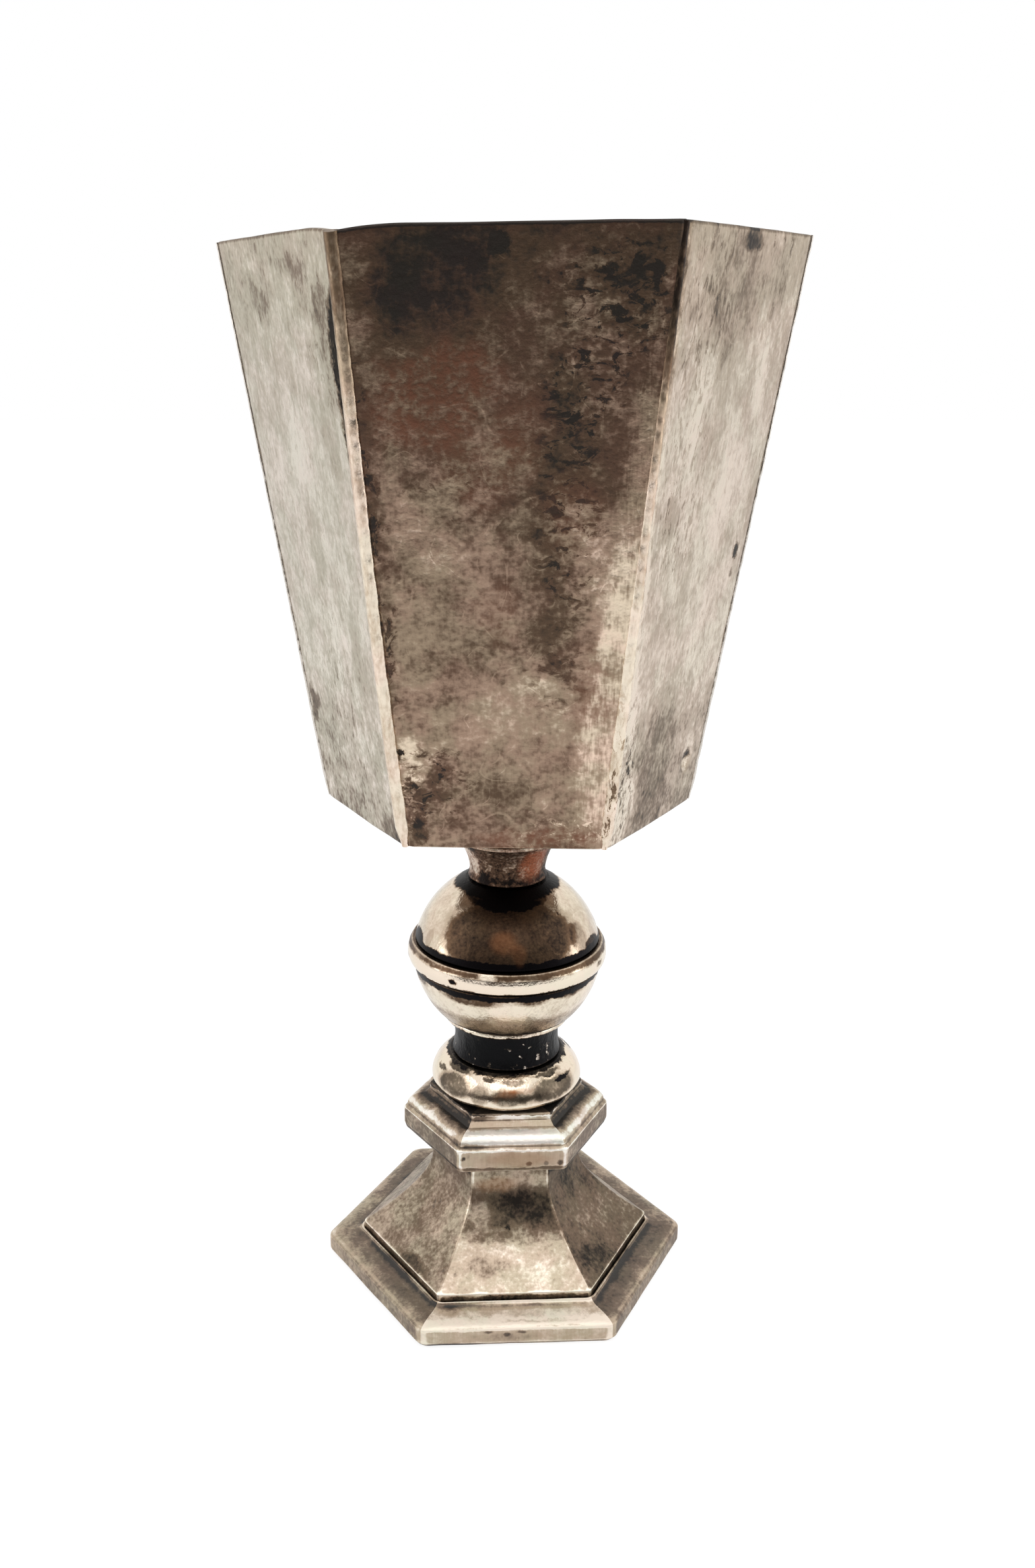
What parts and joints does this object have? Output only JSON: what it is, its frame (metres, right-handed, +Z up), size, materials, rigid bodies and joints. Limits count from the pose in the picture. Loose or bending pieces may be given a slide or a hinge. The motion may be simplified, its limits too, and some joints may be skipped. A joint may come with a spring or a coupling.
{
  "type": "chalice",
  "caption": "Hexagonal silver-plated chalice: a tapered bowl on a turned stem with a round knop, and a hollow hexagonal foot.",
  "frame": {"origin": "centre of the plane that the foot rests on", "axes": "+Z up the stem, towards the bowl's rim; the bowl's front panel faces -Y"},
  "size_m": [0.0926, 0.0802, 0.1799],
  "materials": {
    "bowl_plate": "worn silver plate with grey-brown tarnish, upright brush marks and copper showing through",
    "solder": "raised silver solder, dressed unevenly by file",
    "bowl_inside": "dull tarnished silver plate",
    "neck_copper": "silver plate worn through to copper",
    "knop_plate": "polished silver plate with black grime in the grooves",
    "blackened": "blackened by tarnish",
    "foot_plate": "satin silver plate, bright at the arrises and dark in the recesses",
    "bare_brass": "dull turned brass",
    "steel_rod": "plain steel, lightly tarnished"
  },
  "bodies": {
    "root": {"bowl_panel_front": "bowl_plate", "bowl_panel_front_right": "bowl_plate", "bowl_panel_back_right": "bowl_plate", "bowl_panel_back": "bowl_plate", "bowl_panel_back_left": "bowl_plate", "bowl_panel_front_left": "bowl_plate", "corner_solder_1": "solder", "corner_solder_2": "solder", "corner_solder_3": "solder", "corner_solder_4": "solder", "corner_solder_5": "solder", "corner_solder_6": "solder", "bowl_floor": "bowl_inside", "bowl_boss": "neck_copper", "neck_collar": "neck_copper", "knop_upper": "knop_plate", "knop_lower": "knop_plate", "knop_girdle": "knop_plate", "knop_bead": "knop_plate", "knop_sleeve": "bare_brass", "waist_spool": "blackened", "round_collar": "knop_plate", "hex_collar": "foot_plate", "foot_flare": "foot_plate", "foot_plinth": "foot_plate", "tie_rod": "steel_rod", "clamp_washer": "bare_brass", "clamp_nut": "bare_brass"}
  },
  "joints": []
}
